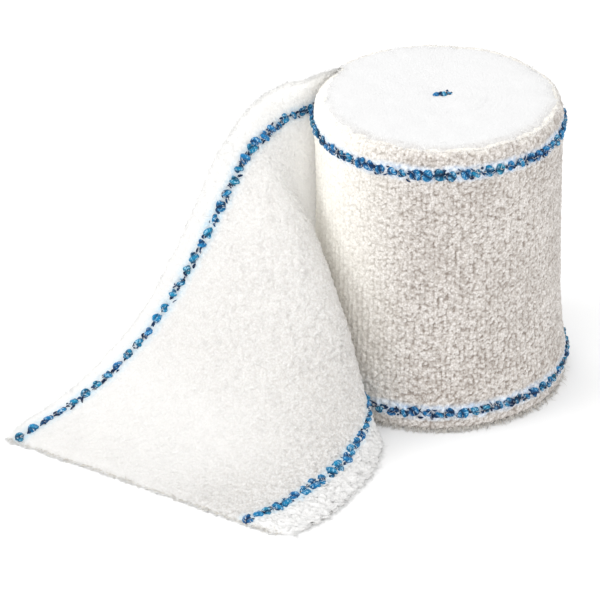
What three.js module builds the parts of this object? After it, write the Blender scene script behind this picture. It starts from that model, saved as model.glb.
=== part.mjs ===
// Crepe bandage wound into a roll, with the outer end let down in front of it.
// Millimetres, +Z up. The roll stands on its end; the origin is the middle of its base.
// The band is wound anticlockwise seen from above, and its outer turn leaves the roll at the back left.

import * as THREE from 'three';

// Band
const BAND_WIDTH = 100;
const TURN = 1.6;
const GAP = 0.3;
const SHEET = TURN - GAP;

// Where the outer turn leaves the roll, in degrees anticlockwise from +X
const LEAVE_ANGLE = 145;

// Wall of the roll: it is waisted between its two selvages, and its rims are rounded
const WALL = [
  { height: 0, radius: 43.0 },
  { height: 1.5, radius: 43.9 },
  { height: 8, radius: 44.0 },
  { height: 20, radius: 42.2 },
  { height: 36, radius: 41.0 },
  { height: 65, radius: 40.4 },
  { height: 82, radius: 40.6 },
  { height: 92, radius: 41.0 },
  { height: 98, radius: 40.4 },
  { height: 100, radius: 39.2 },
];

// End of the roll, from its rim to its middle: share of the radius, and height over the rim
const CROWN = [
  { share: 0.97, rise: 0.5 },
  { share: 0.86, rise: 0.8 },
  { share: 0.55, rise: 0.6 },
  { share: 0.2, rise: 0.1 },
];
const CROWN_MIDDLE_RISE = -0.3;

// Loose end, one row for each stretch of ROW_LENGTH from the roll to the cut: the lower selvage, which
// stands or lies on the ground, then the middle of the band, then the upper selvage
const SECTIONS = [
  { lower: [-46, 10], middle: [-43, 5, 50], upper: [-46, 9, 100] },
  { lower: [-47, -8], middle: [-42, -12, 52], upper: [-58, -3, 98] },
  { lower: [-38, -26], middle: [-38, -25, 55], upper: [-69, -11, 88] },
  { lower: [-25, -39], middle: [-38, -39, 50], upper: [-78, -15, 71] },
  { lower: [-19, -51], middle: [-46, -52, 38], upper: [-86, -17, 52] },
  { lower: [-21, -66], middle: [-57, -63, 25], upper: [-95, -19, 34] },
  { lower: [-28, -82], middle: [-70, -70, 14], upper: [-108, -26, 19] },
  { lower: [-37, -97], middle: [-84, -74, 6], upper: [-123, -36, 9] },
  { lower: [-50, -109], middle: [-97, -77, 1], upper: [-142, -48, 1] },
];
const ROW_LENGTH = 18;
const PEEL_ROWS = 1.6;

// Marker yarn, which shows as a chain of flat stitches beside each selvage
const STITCH_PITCH = 4.5;
const STITCH = { width: 3.2, thickness: 1.2 };
const NECK = { width: 1.8, thickness: 0.7 };
const ROLL_MARGIN = 7.5;
const LOWER_MARGIN = { root: 8, cut: 14 };
const UPPER_MARGIN = { root: 8.5, cut: 5.5 };

// Round the roll each chain starts where the loose end has left it room, and ends at the step
const ROLL_YARNS = [
  { name: 'yarn_roll_top', height: BAND_WIDTH - ROLL_MARGIN, fromAngle: 175 },
  { name: 'yarn_roll_bottom', height: ROLL_MARGIN, fromAngle: 250 },
];
const LAST_ANGLE = LEAVE_ANGLE + 359;

// Along the loose end; an outer chain ends where the cloth comes down on the ground
const END_YARNS = [
  { name: 'yarn_end_top_inner', selvage: 'upper', face: 1, fromRow: 1, toRow: 8.95 },
  { name: 'yarn_end_bottom_inner', selvage: 'lower', face: 1, fromRow: 4, toRow: 8.95 },
  { name: 'yarn_end_top_outer', selvage: 'upper', face: -1, fromRow: 0.1, toRow: 7 },
  { name: 'yarn_end_bottom_outer', selvage: 'lower', face: -1, fromRow: 0.1, toRow: 4.5 },
];

// Where the marker yarn of the innermost turn shows on the end of the roll
const CORE_YARN = { from: -1.8, to: 5.4, back: 2 };

// Fineness of the faces
const COLUMNS = 72;
const WALL_RINGS = 16;
const STEPS_PER_ROW = 4;
const STEPS_ACROSS = 12;
const YARN_SIDES = 6;

const cotton = () => new THREE.MeshStandardMaterial({ color: 0xf2efe8, roughness: 0.95, metalness: 0 });
const blueYarn = () => new THREE.MeshStandardMaterial({ color: 0x0f58a8, roughness: 0.85, metalness: 0 });

const group = new THREE.Group();
const up = new THREE.Vector3(0, 0, 1);
const wall = new THREE.SplineCurve(WALL.map((row) => new THREE.Vector2(row.radius, row.height)));
const wallOutline = wall.getPoints(WALL_RINGS * 4);

// The wound form

function wallRadius(height) {
  const above = wallOutline.findIndex((point) => point.y >= height);
  if (above < 1) {
    return wallOutline.at(above).x;
  }
  const low = wallOutline[above - 1];
  const high = wallOutline[above];
  return THREE.MathUtils.mapLinear(height, low.y, high.y, low.x, high.x);
}

// The wound cloth is a little uneven: a few shallow swells round the wall
function swell(angle, height) {
  const turn = THREE.MathUtils.degToRad(angle);
  return 0.25 * Math.sin(3 * turn + 0.04 * height) + 0.15 * Math.sin(7 * turn - 0.07 * height);
}

// The share of a whole turn since the outer turn left the roll, from 0 to just under 1
function turnsSinceLeave(angle) {
  return THREE.MathUtils.euclideanModulo(angle - LEAVE_ANGLE, 360) / 360;
}

function spiralRadius(angle, height, turns = turnsSinceLeave(angle)) {
  return wallRadius(height) + swell(angle, height) + TURN * (turns - 0.5);
}

function polar(angle, radius, height) {
  return new THREE.Vector3(radius, 0, height).applyAxisAngle(up, THREE.MathUtils.degToRad(angle));
}

// One ring of the roll, from the bottom of the step round to its top
function rollRing(height, share = 1, rise = 0) {
  const ring = [];
  for (let column = 0; column <= COLUMNS; column += 1) {
    const turns = column / COLUMNS;
    const angle = LEAVE_ANGLE + 360 * turns;
    ring.push(polar(angle, share * spiralRadius(angle, height, turns), height + rise));
  }
  return ring;
}

// Closed bodies from rings of points

function signedVolume(points, faces) {
  const cross = new THREE.Vector3();
  return faces.reduce((sum, [a, b, c]) => sum + points[a].dot(cross.crossVectors(points[b], points[c])), 0);
}

function solid(points, faces) {
  const outward = signedVolume(points, faces) > 0 ? faces : faces.map(([a, b, c]) => [a, c, b]);
  const geometry = new THREE.BufferGeometry().setFromPoints(points);
  geometry.setIndex(outward.flat());
  geometry.computeVertexNormals();
  return geometry;
}

function sideFaces(ringCount, size) {
  const faces = [];
  for (let ring = 0; ring < ringCount - 1; ring += 1) {
    for (let place = 0; place < size; place += 1) {
      const next = (place + 1) % size;
      const [a, b] = [ring * size + place, ring * size + next];
      faces.push([a, b, b + size], [a, b + size, a + size]);
    }
  }
  return faces;
}

// Rings joined into a wall, with each end closed by a fan to its middle point
function spindle(rings, firstMiddle, lastMiddle) {
  const size = rings[0].length;
  const faces = sideFaces(rings.length, size);
  const first = rings.length * size;
  const lastRing = first - size;
  for (let place = 0; place < size; place += 1) {
    const next = (place + 1) % size;
    faces.push([next, place, first], [lastRing + place, lastRing + next, first + 1]);
  }
  return solid([...rings.flat(), firstMiddle, lastMiddle], faces);
}

// Rings that each run up one face of a sheet and down the other, with flat strips at both ends
function sheetBody(rings) {
  const size = rings[0].length;
  const faces = sideFaces(rings.length, size);
  const lastRing = (rings.length - 1) * size;
  for (let place = 0; place < size / 2 - 1; place += 1) {
    const [a, b, c, d] = [place, place + 1, size - 2 - place, size - 1 - place];
    faces.push([b, a, d], [b, d, c]);
    faces.push([a, b, d].map((at) => at + lastRing), [b, c, d].map((at) => at + lastRing));
  }
  return solid(rings.flat(), faces);
}

function add(name, geometry, material) {
  const mesh = new THREE.Mesh(geometry, material);
  mesh.name = name;
  group.add(mesh);
}

// Roll

function buildRoll() {
  const rings = [];
  for (let ring = 0; ring <= WALL_RINGS; ring += 1) {
    rings.push(rollRing(wall.getPoint(ring / WALL_RINGS).y));
  }
  for (const { share, rise } of CROWN) {
    rings.push(rollRing(BAND_WIDTH, share, rise));
  }
  const foot = new THREE.Vector3(0, 0, 0);
  const crown = new THREE.Vector3(0, 0, BAND_WIDTH + CROWN_MIDDLE_RISE);
  add('roll', spindle(rings, foot, crown), cotton());
}

// Loose end

// The first section stands behind the step of the roll, just clear of it
const rootAngle = LEAVE_ANGLE + THREE.MathUtils.radToDeg(GAP / WALL[0].radius);
const root = (height) => polar(rootAngle, wallRadius(height), height);
const edge = (points) => new THREE.CatmullRomCurve3(points, false, 'catmullrom', 0.5);
const rows = SECTIONS.length;
const groundHeight = SHEET / 2;
const lowerPoints = SECTIONS.map(({ lower }) => new THREE.Vector3(...lower, groundHeight));
const middlePoints = SECTIONS.map(({ middle }) => new THREE.Vector3(...middle));
const upperPoints = SECTIONS.map(({ upper }) => new THREE.Vector3(...upper));
const lowerEdge = edge([root(groundHeight), ...lowerPoints]);
const middleLine = edge([root(BAND_WIDTH / 2), ...middlePoints]);
const upperEdge = edge([root(BAND_WIDTH), ...upperPoints]);

// The band's section at one row is an arc through its lower selvage, its middle and its upper selvage
function section(row) {
  const [lower, middle, upper] = [lowerEdge, middleLine, upperEdge].map((line) => line.getPoint(row / rows));
  const bow = middle.multiplyScalar(2).sub(lower.clone().lerp(upper, 0.5));
  return new THREE.QuadraticBezierCurve3(lower, bow, upper);
}

// Keeps a point of the sheet's middle surface clear of the roll, and on its curve where the sheet peels off
function besideRoll(point, row) {
  const angle = THREE.MathUtils.radToDeg(Math.atan2(point.y, point.x));
  const height = Math.min(point.z, BAND_WIDTH);
  const onRoll = spiralRadius(angle, height) + GAP + SHEET / 2;
  const away = Math.hypot(point.x, point.y);
  const free = THREE.MathUtils.smoothstep(row, 0, PEEL_ROWS);
  const radius = Math.max(onRoll, THREE.MathUtils.lerp(onRoll, away, free));
  return new THREE.Vector3(point.x * radius / away, point.y * radius / away, point.z);
}

function sheetPoint(row, across) {
  return besideRoll(section(row).getPoint(across), row);
}

// The direction out of the sheet on its inner face, the one that faced the middle of the roll
function innerNormal(row, across) {
  const step = 0.02;
  const [r0, r1] = [Math.max(row - step, 0), Math.min(row + step, rows)];
  const [a0, a1] = [Math.max(across - step, 0), Math.min(across + step, 1)];
  const along = sheetPoint(r1, across).sub(sheetPoint(r0, across));
  const upward = sheetPoint(row, a1).sub(sheetPoint(row, a0));
  return upward.cross(along).normalize();
}

function buildLooseEnd() {
  const rings = [];
  for (let step = 0; step <= rows * STEPS_PER_ROW; step += 1) {
    const row = step / STEPS_PER_ROW;
    const inner = [];
    const outer = [];
    for (let place = 0; place <= STEPS_ACROSS; place += 1) {
      const across = 0.5 - 0.5 * Math.cos(Math.PI * place / STEPS_ACROSS);
      const middle = sheetPoint(row, across);
      const half = innerNormal(row, across).multiplyScalar(SHEET / 2);
      inner.push(middle.clone().add(half));
      outer.unshift(middle.clone().sub(half));
    }
    rings.push([...inner, ...outer].map((point) => point.setZ(Math.max(point.z, 0))));
  }
  add('loose_end', sheetBody(rings), cotton());
}

// Marker yarn

// A chain of stitches through places on the cloth, each a point with the direction out of the cloth
function yarnChain(places) {
  const rings = places.map(({ at, out }, index) => {
    const before = places[Math.max(index - 1, 0)].at;
    const after = places[Math.min(index + 1, places.length - 1)].at;
    const along = after.clone().sub(before).normalize();
    const beside = along.clone().cross(out).normalize();
    const { width, thickness } = index % 2 ? STITCH : NECK;
    const ring = [];
    for (let side = 0; side < YARN_SIDES; side += 1) {
      const turn = 2 * Math.PI * side / YARN_SIDES;
      ring.push(at.clone()
        .addScaledVector(beside, 0.5 * width * Math.cos(turn))
        .addScaledVector(out, 0.5 * thickness * Math.sin(turn)));
    }
    return ring;
  });
  return spindle(rings, places[0].at, places.at(-1).at);
}

// Half-stitch places from one value to another, so that each chain starts and ends on a neck
function stitchPlaces(from, to, stitches, placeAt) {
  const places = [];
  for (let half = 0; half <= 2 * stitches; half += 1) {
    places.push(placeAt(THREE.MathUtils.lerp(from, to, half / (2 * stitches))));
  }
  return places;
}

const yarnLift = GAP + STITCH.thickness / 2;

function buildRollYarn({ name, height, fromAngle }) {
  const arc = THREE.MathUtils.degToRad(LAST_ANGLE - fromAngle) * wallRadius(height);
  const placeAt = (angle) => ({
    at: polar(angle, spiralRadius(angle, height) + yarnLift, height),
    out: polar(angle, 1, 0),
  });
  const places = stitchPlaces(fromAngle, LAST_ANGLE, Math.round(arc / STITCH_PITCH), placeAt);
  add(name, yarnChain(places), blueYarn());
}

// A chain along the loose end; face is 1 on its inner face and -1 on its outer one
function buildEndYarn({ name, selvage, face, fromRow, toRow }) {
  const margin = selvage === 'lower' ? LOWER_MARGIN : UPPER_MARGIN;
  const placeAt = (row) => {
    const inset = THREE.MathUtils.lerp(margin.root, margin.cut, row / rows) / section(row).getLength();
    const across = selvage === 'lower' ? inset : 1 - inset;
    const out = innerNormal(row, across).multiplyScalar(face);
    return { at: sheetPoint(row, across).addScaledVector(out, SHEET / 2 + yarnLift), out };
  };
  const stitches = Math.round((toRow - fromRow) * ROW_LENGTH / STITCH_PITCH);
  add(name, yarnChain(stitchPlaces(fromRow, toRow, stitches, placeAt)), blueYarn());
}

function buildCoreYarn() {
  const height = BAND_WIDTH + CROWN.at(-1).rise + yarnLift;
  const placeAt = (x) => ({ at: new THREE.Vector3(x, CORE_YARN.back, height), out: up });
  const stitches = Math.round((CORE_YARN.to - CORE_YARN.from) / STITCH_PITCH);
  add('yarn_core', yarnChain(stitchPlaces(CORE_YARN.from, CORE_YARN.to, stitches, placeAt)), blueYarn());
}

buildRoll();
buildLooseEnd();
ROLL_YARNS.forEach(buildRollYarn);
END_YARNS.forEach(buildEndYarn);
buildCoreYarn();

export default group;
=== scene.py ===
import math

import bpy
import numpy as np
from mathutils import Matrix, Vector


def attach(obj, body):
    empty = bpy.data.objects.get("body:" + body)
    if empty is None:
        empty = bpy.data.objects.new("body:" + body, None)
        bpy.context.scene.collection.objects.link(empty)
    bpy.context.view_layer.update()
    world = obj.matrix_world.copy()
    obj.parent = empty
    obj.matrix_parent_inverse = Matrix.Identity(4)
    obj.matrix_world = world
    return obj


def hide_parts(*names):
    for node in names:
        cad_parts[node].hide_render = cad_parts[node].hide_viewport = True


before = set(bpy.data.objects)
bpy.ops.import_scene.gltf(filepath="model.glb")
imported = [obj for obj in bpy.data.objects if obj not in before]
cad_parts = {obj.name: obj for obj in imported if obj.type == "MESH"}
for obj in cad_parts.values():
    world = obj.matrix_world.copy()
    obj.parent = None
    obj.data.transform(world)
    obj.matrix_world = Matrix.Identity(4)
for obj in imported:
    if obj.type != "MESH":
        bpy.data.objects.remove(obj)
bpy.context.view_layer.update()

# Shapes are worked out in millimetres and turned into metres as each mesh is made
MM = 0.001
UP = np.array([0, 0, 1.0])

# Lowest height of a cloth's points and of a fibre's
CLOTH_FLOOR = 0.02
FIBRE_FLOOR = 0.03

# Band and roll, as in the solids; a turn is counted from the angle where the loose end leaves the roll
BAND = 100.0
TURN = 1.6
GAP = 0.3
SHEET = TURN - GAP
LEAVE_ANGLE = 145.0

# Wall of the roll: height, radius
WALL = (
    (0, 43.0), (1.5, 43.9), (8, 44.0), (20, 42.2), (36, 41.0),
    (65, 40.4), (82, 40.6), (92, 41.0), (98, 40.4), (100, 39.2),
)
WALL_SAMPLES = 200
WALL_RUN = 2 * math.pi * 41.5

# Slow swells of the wall: height, how many to a turn, and lean in radians to a millimetre
SWELLS = ((0.25, 3, 0.04), (0.15, 7, -0.07))

# Loose end, a row for each 18 mm or so of its run: lower selvage, middle, upper selvage
SECTIONS = (
    ((-46, 10), (-43, 5, 50), (-46, 9, 100)),
    ((-47, -8), (-42, -12, 52), (-58, -3, 98)),
    ((-38, -26), (-38, -25, 55), (-69, -11, 88)),
    ((-25, -39), (-38, -39, 50), (-78, -15, 71)),
    ((-19, -51), (-46, -52, 38), (-86, -17, 52)),
    ((-21, -66), (-57, -63, 25), (-95, -19, 34)),
    ((-28, -82), (-70, -70, 14), (-108, -26, 19)),
    ((-37, -97), (-84, -74, 6), (-123, -36, 9)),
    ((-50, -109), (-97, -77, 1), (-142, -48, 1)),
)
ROWS = len(SECTIONS)
PEEL_ROWS = 1.6
END_LENGTH = 168.0
END_WIDTH = 104.0
ROW_RUN = END_LENGTH / ROWS

# Crepe: the pitch of its ribs along the band, of the nubs along a rib, and of shallow folds across the band
RIB_PITCH = 1.5
NUB_PITCH = 1.15
NUB_HEIGHT = 0.56
GROUND = 0.36
FOLD_PITCH = 2.3
FOLD_HEIGHT = 0.15

# Nubs: how far they stray and lean, and the least and the range of their half width, half length and height
NUB_STRAY = (0.51, 0.85)
NUB_LEAN = 1.2
NUB_WIDE = (0.44, 0.26)
NUB_LONG = (0.52, 0.36)
NUB_TALL = (0.35, 0.65)

# Marker yarn: its stitches' pitch, its distance from each selvage (from root to cut edge), and its blue lint
STITCH_PITCH = 3.9
END_STITCH_PITCH = 4.3
ROLL_MARGIN = 7.5
LOWER_MARGIN = (8.0, 14.0)
UPPER_MARGIN = (8.5, 5.5)
ROLL_LINT = 0.9
END_LINT = 0.95
LINT_REACH = 1.6

# Unevenness: a salt that keeps it apart from the rest, then layers of soft noise as height and pitch
RIB_SWAY = (20, (0.4, 7.0))
NUB_SWAY = (21, (0.5, 5.0))
LIVELY = (6, (0.25, 7.0))
LIVELY_WIDE = (8, (0.15, 17.0))
FUZZ = (7, (0.20, 0.7))
LINT_SWAY = (0, (0.4, 3.0))
LINT_PATCHES = (1, (0.35, 1.3))
CUT_WAVES = (41, (0.7, 1.4), (0.4, 9.0))
LOWER_WAVES = (43, (0.30, 2.2), (0.35, 8.0))
UPPER_WAVES = (45, (0.30, 2.2), (0.35, 8.0))
SCALLOP_SWAY = (47, (1.0, 11.0))
RIM_WAVES = (51, (0.35, 9.0), (0.20, 3.0))
FOLD_SWAY = (53, (0.5, 9.0))
FOLD_DEPTH = (54, (0.25, 14.0))
WHITE_EDGE = (55, (0.25, 1.6))
CROWN_WAVES = (74, (0.16, 6.0), (0.05, 2.1))
RAGGED_EDGE = (76, (0.3, 2.2))
PATCH_SWAY = (77, (0.4, 5.0))
THREAD_SWAY = (78, (0.8, 4.1), (0.5, 1.5))
ROLL_YARN_SWAY = (81, (0.4, 25.0))
END_YARN_SWAY = (82, (0.4, 1.3))

# Salts of the crepe, of the nubs round the rim and of the lint
WALL_CREPE, END_CREPE, RIM_NUBS = 1, 31, 80
TOP_LINT, BOTTOM_LINT, LOWER_LINT, UPPER_LINT = 90, 92, 94, 96


# Arithmetic

def clamp(x):
    """x, held between 0 and 1."""
    return np.clip(x, 0, 1)


def fade(x, none, full):
    """0 up to one value of x, 1 from another on, and straight between them."""
    return clamp((x - none) / (full - none))


def eased(x):
    """A share from 0 to 1 with a soft start and a soft end."""
    return x * x * (3 - 2 * x)


def blend(first, second, share):
    return first + (second - first) * share


def column(x):
    return x[:, None]


# Seeded randomness

HASH_PRIMES = (73856093, 19349663, 83492791)
HASH_STIR = 1274126177
HASH_BITS = 0xFFFFFF


def cell_random(i, j, salt):
    """A number from 0 to 1 for each whole-number cell, the same on every run."""
    x = i.astype(np.int64) * HASH_PRIMES[0] ^ j.astype(np.int64) * HASH_PRIMES[1] ^ salt * HASH_PRIMES[2]
    x = (x ^ (x >> 13)) * HASH_STIR
    x = (x ^ (x >> 16)) & HASH_BITS
    return x / float(HASH_BITS)


def cell_range(i, j, salt, least, more):
    return least + more * cell_random(i, j, salt)


def soft_noise(u, v, pitch, salt):
    """Smooth noise from -1 to 1 whose hills are about pitch apart."""
    x, y = u / pitch, v / pitch
    i, j = np.floor(x), np.floor(y)
    fx, fy = eased(x - i), eased(y - j)
    corner = [[cell_random(i + a, j + b, salt) for b in (0, 1)] for a in (0, 1)]
    low = corner[0][0] * (1 - fx) + corner[1][0] * fx
    high = corner[0][1] * (1 - fx) + corner[1][1] * fx
    return 2 * (low * (1 - fy) + high * fy) - 1


def waves(u, v, unevenness, salt=0):
    """Layers of soft noise laid over one another."""
    own_salt, *layers = unevenness
    salt = salt + own_salt
    return sum(height * soft_noise(u, v, pitch, salt + k) for k, (height, pitch) in enumerate(layers))


def line_waves(run, unevenness):
    """The same along a line."""
    return waves(run, 0 * run, unevenness)


def nubs(u, v, pitch_u, pitch_v, salt):
    """Rounded nubs strung along ribs, one to a cell: 0 in the pits, up to 1 on the nubs."""
    i, j = np.floor(u / pitch_u), np.floor(v / pitch_v)
    height = np.zeros_like(u)
    for a in (-1, 0, 1):
        for b in (-1, 0, 1):
            ci, cj = i + a, j + b
            stagger = 0.5 * np.mod(ci, 2) - 0.25
            du = u - (ci + 0.5 + NUB_STRAY[0] * (cell_random(ci, cj, salt) - 0.5)) * pitch_u
            dv = v - (cj + 0.5 + stagger + NUB_STRAY[1] * (cell_random(ci, cj, salt + 1) - 0.5)) * pitch_v
            lean = NUB_LEAN * (cell_random(ci, cj, salt + 2) - 0.5)
            wide = pitch_u * cell_range(ci, cj, salt + 3, *NUB_WIDE)
            long = pitch_v * cell_range(ci, cj, salt + 4, *NUB_LONG)
            tall = cell_range(ci, cj, salt + 5, *NUB_TALL)
            q = ((du + lean * dv) / wide) ** 2 + (dv / long) ** 2
            height = np.maximum(height, tall * np.sqrt(np.maximum(0.0, 1.0 - q)))
    return height


def crepe(u, v, salt):
    """Height of the crepe over its ground, 0 to about 1; the band runs along u, and its width along v."""
    u = u + waves(u, v, RIB_SWAY, salt)
    v = v + waves(u, v, NUB_SWAY, salt)
    height = nubs(u, v, RIB_PITCH, NUB_PITCH, salt)
    lively = 1.0 + waves(u, v, LIVELY, salt) + waves(u, v, LIVELY_WIDE, salt)
    return height * lively + waves(u, v, FUZZ, salt)


def lint(u, off, salt, most):
    """Share of blue lint in the cotton, from its distance off the line of marker yarn."""
    near = clamp(2.0 - np.abs(off + waves(u, off, LINT_SWAY, salt)) / LINT_REACH)
    return most * near * (0.65 + waves(u, off, LINT_PATCHES, salt))


# Shape of the roll

def spline(points, t, reflect):
    """Uniform Catmull-Rom curve; t counts the points."""
    points = np.asarray(points, float)
    first = 2 * points[0] - points[1] if reflect else points[0]
    last = 2 * points[-1] - points[-2] if reflect else points[-1]
    p = np.vstack([first, points, last])
    i = np.clip(np.floor(t).astype(int), 0, len(points) - 2)
    f = column(t - i)
    a, b, c, d = p[i], p[i + 1], p[i + 2], p[i + 3]
    curve = 2 * b + (c - a) * f + (2 * a - 5 * b + 4 * c - d) * f * f + (3 * b - a - 3 * c + d) * f ** 3
    return 0.5 * curve


WALL_LINE = spline(WALL, np.linspace(0, len(WALL) - 1, WALL_SAMPLES), reflect=False)


def wall_radius(z):
    return np.interp(z, WALL_LINE[:, 0], WALL_LINE[:, 1])


def swell(angle, z):
    turn = np.radians(angle)
    return sum(height * np.sin(count * turn + lean * z) for height, count, lean in SWELLS)


def spiral_radius(angle, z, turns):
    return wall_radius(z) + swell(angle, z) + TURN * (turns - 0.5)


def polar(angle, radius, z):
    turn = np.radians(angle)
    return np.stack([radius * np.cos(turn), radius * np.sin(turn), z + 0 * turn], axis=-1)


# Shape of the loose end

# A place this far round the roll lies before the line where the loose end leaves it
NEARLY_ROUND = 0.9


def edge_points(place):
    """Points along a selvage or the middle of the loose end, from where it leaves the roll."""
    root_z = (SHEET / 2, BAND / 2, BAND)[place]
    root_angle = np.radians(LEAVE_ANGLE) + GAP / WALL[0][1]
    radius = float(wall_radius(root_z))
    points = [(radius * math.cos(root_angle), radius * math.sin(root_angle), root_z)]
    for row in SECTIONS:
        points.append((*row[place], SHEET / 2) if place == 0 else row[place])
    return np.array(points, float)


EDGES = [edge_points(place) for place in range(3)]


def sheet_middle(row, across):
    """Points of the sheet's middle surface, for arrays of rows and of places across the band."""
    lower, middle, upper = (spline(points, np.ravel(row), reflect=True) for points in EDGES)
    a = column(np.ravel(across))
    p = lower * (1 - a) * (1 - 2 * a) + middle * 4 * a * (1 - a) + upper * a * (2 * a - 1)
    angle = np.degrees(np.arctan2(p[:, 1], p[:, 0]))
    turns = np.mod(angle - LEAVE_ANGLE, 360) / 360
    turns = np.where(turns > NEARLY_ROUND, turns - 1, turns)
    on_roll = spiral_radius(angle, np.clip(p[:, 2], 0, BAND), turns) + GAP + SHEET / 2
    away = np.hypot(p[:, 0], p[:, 1])
    free = eased(clamp(np.ravel(row) / PEEL_ROWS))
    radius = np.maximum(on_roll, on_roll + (away - on_roll) * free)
    p[:, :2] *= column(radius / away)
    return p.reshape(*np.shape(row), 3)


def unit(vectors):
    return vectors / np.linalg.norm(vectors, axis=-1, keepdims=True)


def sheet_frame(row, across):
    """Middle points, the direction out of the inner face, and the direction along the band."""
    step = 0.03
    point = sheet_middle(row, across)
    along = sheet_middle(row + step, across) - sheet_middle(row - step, across)
    upward = sheet_middle(row, across + step) - sheet_middle(row, across - step)
    return point, unit(np.cross(upward, along)), unit(along)


# Mesh making

def add_object(name, data):
    thing = bpy.data.objects.new(name, data)
    bpy.context.scene.collection.objects.link(thing)
    return thing


def make_piece(name, points, faces, material, **layers):
    """A smooth mesh that rides on the root, with values at its points for each named layer."""
    mesh = bpy.data.meshes.new(name)
    points = np.asarray(points, float).reshape(-1, 3) * MM
    faces = np.asarray(faces, np.int32)
    size = faces.shape[1]
    mesh.vertices.add(len(points))
    mesh.vertices.foreach_set("co", points.astype(np.float32).ravel())
    mesh.loops.add(faces.size)
    mesh.loops.foreach_set("vertex_index", faces.ravel())
    mesh.polygons.add(len(faces))
    mesh.polygons.foreach_set("loop_start", np.arange(0, faces.size, size, dtype=np.int32))
    mesh.polygons.foreach_set("loop_total", np.full(len(faces), size, dtype=np.int32))
    mesh.update(calc_edges=True)
    mesh.validate()
    mesh.polygons.foreach_set("use_smooth", np.ones(len(mesh.polygons), bool))
    for layer_name, values in layers.items():
        layer = mesh.attributes.new(layer_name, "FLOAT", "POINT")
        layer.data.foreach_set("value", np.asarray(values, np.float32).ravel())
    mesh.materials.append(material)
    piece = add_object(name, mesh)
    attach(piece, "root")
    return piece


def grid_faces(rows, columns):
    """Quads of a grid of rows times columns of points, numbered row by row."""
    i, j = np.meshgrid(np.arange(rows - 1), np.arange(columns - 1), indexing="ij")
    a = (i * columns + j).ravel()
    return np.stack([a, a + 1, a + columns + 1, a + columns], axis=1)


def ring_faces(rings, size):
    """Quads between rings that each close on themselves."""
    i, j = np.meshgrid(np.arange(rings - 1), np.arange(size), indexing="ij")
    a = (i * size + j).ravel()
    b = (i * size + (j + 1) % size).ravel()
    return np.stack([a, b, b + size, a + size], axis=1)


def halves(quads):
    """Two triangles for each quad."""
    return np.concatenate([quads[:, [0, 1, 2]], quads[:, [0, 2, 3]]])


def tubes(centre, side_a, side_b, sides):
    """Closed tubes, one to a row of centre points; the two side vectors give each ring's radii."""
    count, rings = centre.shape[:2]
    turn = column(np.linspace(0, 2 * np.pi, sides, endpoint=False))
    points = centre[:, :, None] + side_a[:, :, None] * np.cos(turn) + side_b[:, :, None] * np.sin(turn)
    fan = np.arange(1, sides - 1)
    start_cap = np.stack([0 * fan, fan + 1, fan], axis=1)
    end_cap = np.stack([0 * fan, fan, fan + 1], axis=1) + (rings - 1) * sides
    faces = np.concatenate([halves(ring_faces(rings, sides)), start_cap, end_cap])
    faces = faces[None] + (rings * sides * np.arange(count))[:, None, None]
    return points.reshape(-1, 3), faces.reshape(-1, 3)


def join(parts):
    """One list of points and one of faces, from several."""
    starts = np.cumsum([0] + [len(points) for points, _ in parts[:-1]])
    points = np.concatenate([points for points, _ in parts])
    faces = np.concatenate([faces + start for (_, faces), start in zip(parts, starts)])
    return points, faces


# Material nodes

def fill(tree, node, inputs):
    """Gives each named input of a node its value: another node's output, or a plain one."""
    for name, value in inputs.items():
        if isinstance(value, bpy.types.NodeSocket):
            tree.links.new(value, node.inputs[name])
        else:
            node.inputs[name].default_value = value


def new_node(tree, kind, **inputs):
    node = tree.nodes.new("ShaderNode" + kind)
    fill(tree, node, inputs)
    return node


def new_material(name, colour, roughness, sheen, shine=0.12):
    material = bpy.data.materials.new(name)
    material.use_nodes = True
    tree = material.node_tree
    shader = tree.nodes["Principled BSDF"]
    fill(tree, shader, {"Base Color": (*colour, 1), "Roughness": roughness, "Specular IOR Level": shine})
    fill(tree, shader, {"Sheen Weight": sheen, "Sheen Roughness": 0.6})
    return material, tree, shader


def object_place(tree):
    return new_node(tree, "TexCoord").outputs["Object"]


def layer_value(tree, name):
    node = new_node(tree, "Attribute")
    node.attribute_name = name
    return node.outputs["Fac"]


def noise(tree, place, scale, detail=3.0, rough=0.55):
    node = new_node(tree, "TexNoise", Vector=place, Scale=scale, Detail=detail, Roughness=rough)
    return node.outputs["Fac"]


def ramp(tree, value, places, colours):
    """Colours that follow a value, each reached at its own place from 0 to 1."""
    node = new_node(tree, "ValToRGB", Fac=value)
    elements = node.color_ramp.elements
    while len(elements) < len(places):
        elements.new(0.5)
    for element, place, colour in zip(elements, places, colours):
        element.position = place
        element.color = (*colour, 1)
    return node.outputs["Color"]


def mix_colour(tree, share, first, second, mode="MIX"):
    node = new_node(tree, "Mix")
    node.data_type = "RGBA"
    node.blend_type = mode
    fill(tree, node, {"Factor": share, "A": first, "B": second})
    return node.outputs["Result"]


def multiply(tree, first, second):
    return mix_colour(tree, 1.0, first, second, "MULTIPLY")


def bump(tree, height, distance, strength, **normal):
    node = new_node(tree, "Bump", Height=height, Distance=distance, Strength=strength, **normal)
    return node.outputs["Normal"]


# Materials

WHITE = (1.0, 1.0, 1.0)

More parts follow.
